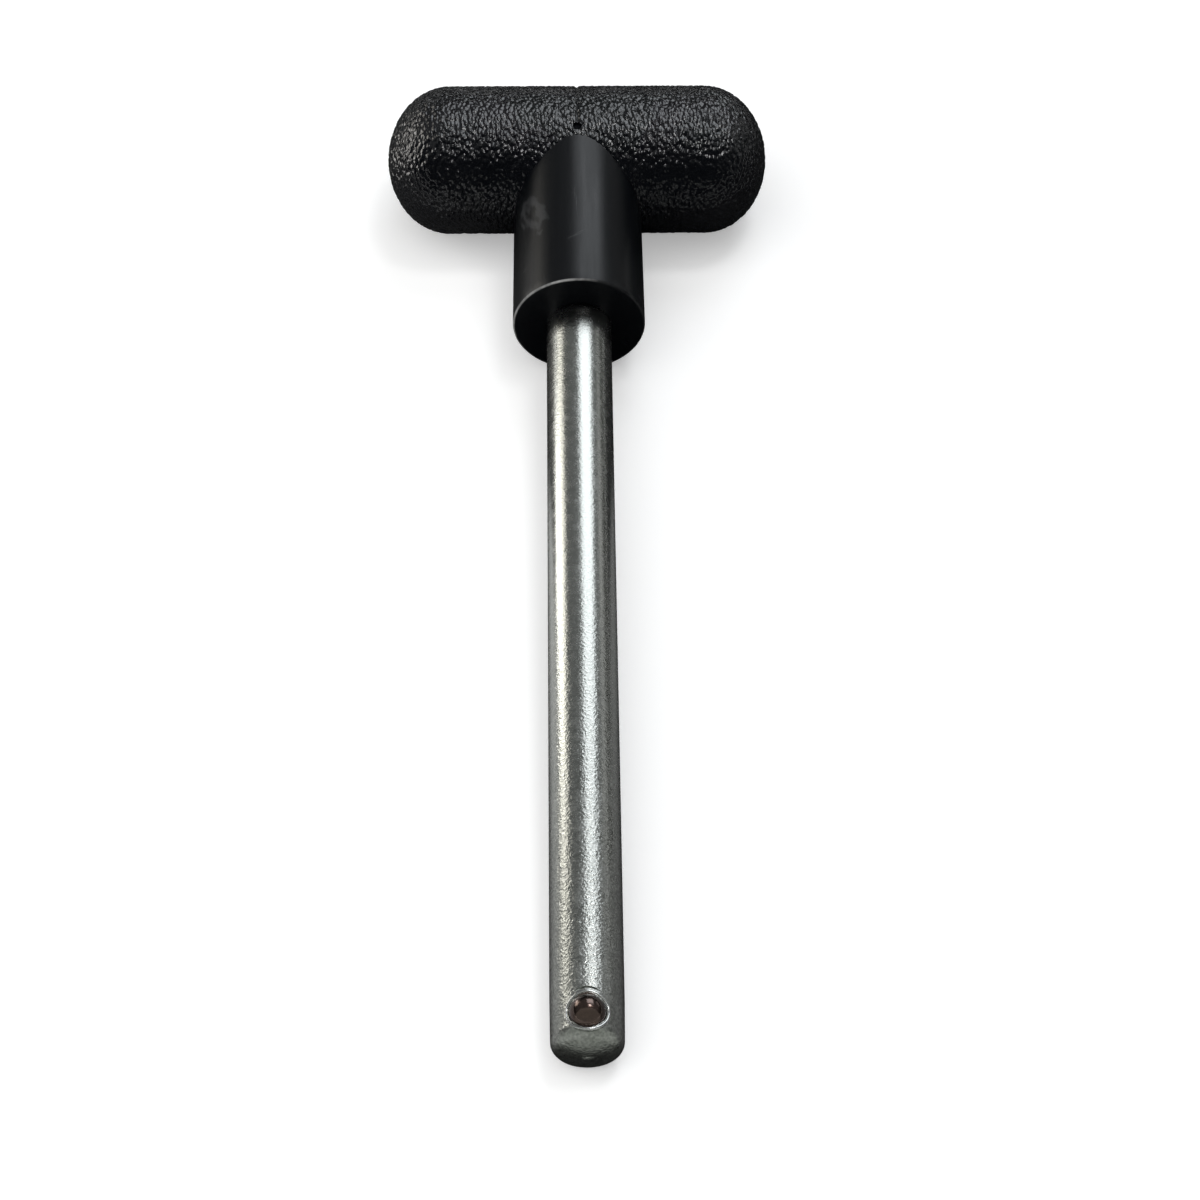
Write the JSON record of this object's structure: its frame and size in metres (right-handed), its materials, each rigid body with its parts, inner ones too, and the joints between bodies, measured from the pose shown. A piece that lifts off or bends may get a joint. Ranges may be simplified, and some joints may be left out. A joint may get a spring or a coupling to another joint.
{
  "type": "weight stack pin",
  "caption": "T-handled selector pin: a round steel shaft with a sprung ball near its tip that holds it in a weight stack's plate.",
  "frame": {"origin": "centre of the handle's end face, on the shaft's axis", "axes": "-Y along the shaft to its tip, X along the crossbar, +Z out of the side where the detent ball stands"},
  "size_m": [0.061, 0.1792, 0.0218],
  "materials": {
    "handle_plastic": "black moulded plastic, leather grain on the crossbar and a smooth hub",
    "zinc_steel": "bright zinc plate with a mottled spangle",
    "ball_steel": "polished dark bearing steel",
    "spring_steel": "drawn spring wire"
  },
  "bodies": {
    "pin": {"handle": "handle_plastic", "shaft": "zinc_steel", "detent_spring": "spring_steel"},
    "ball": {"detent_ball": "ball_steel"}
  },
  "joints": [
    {"name": "ball_press", "type": "slide", "parent": "pin", "child": "ball", "axis": [0, 0, -1], "range_m": [0, 0.0017], "stiffness_N_per_m": 2500, "springref_m": -0.001, "deforming": ["detent_spring"]}
  ]
}
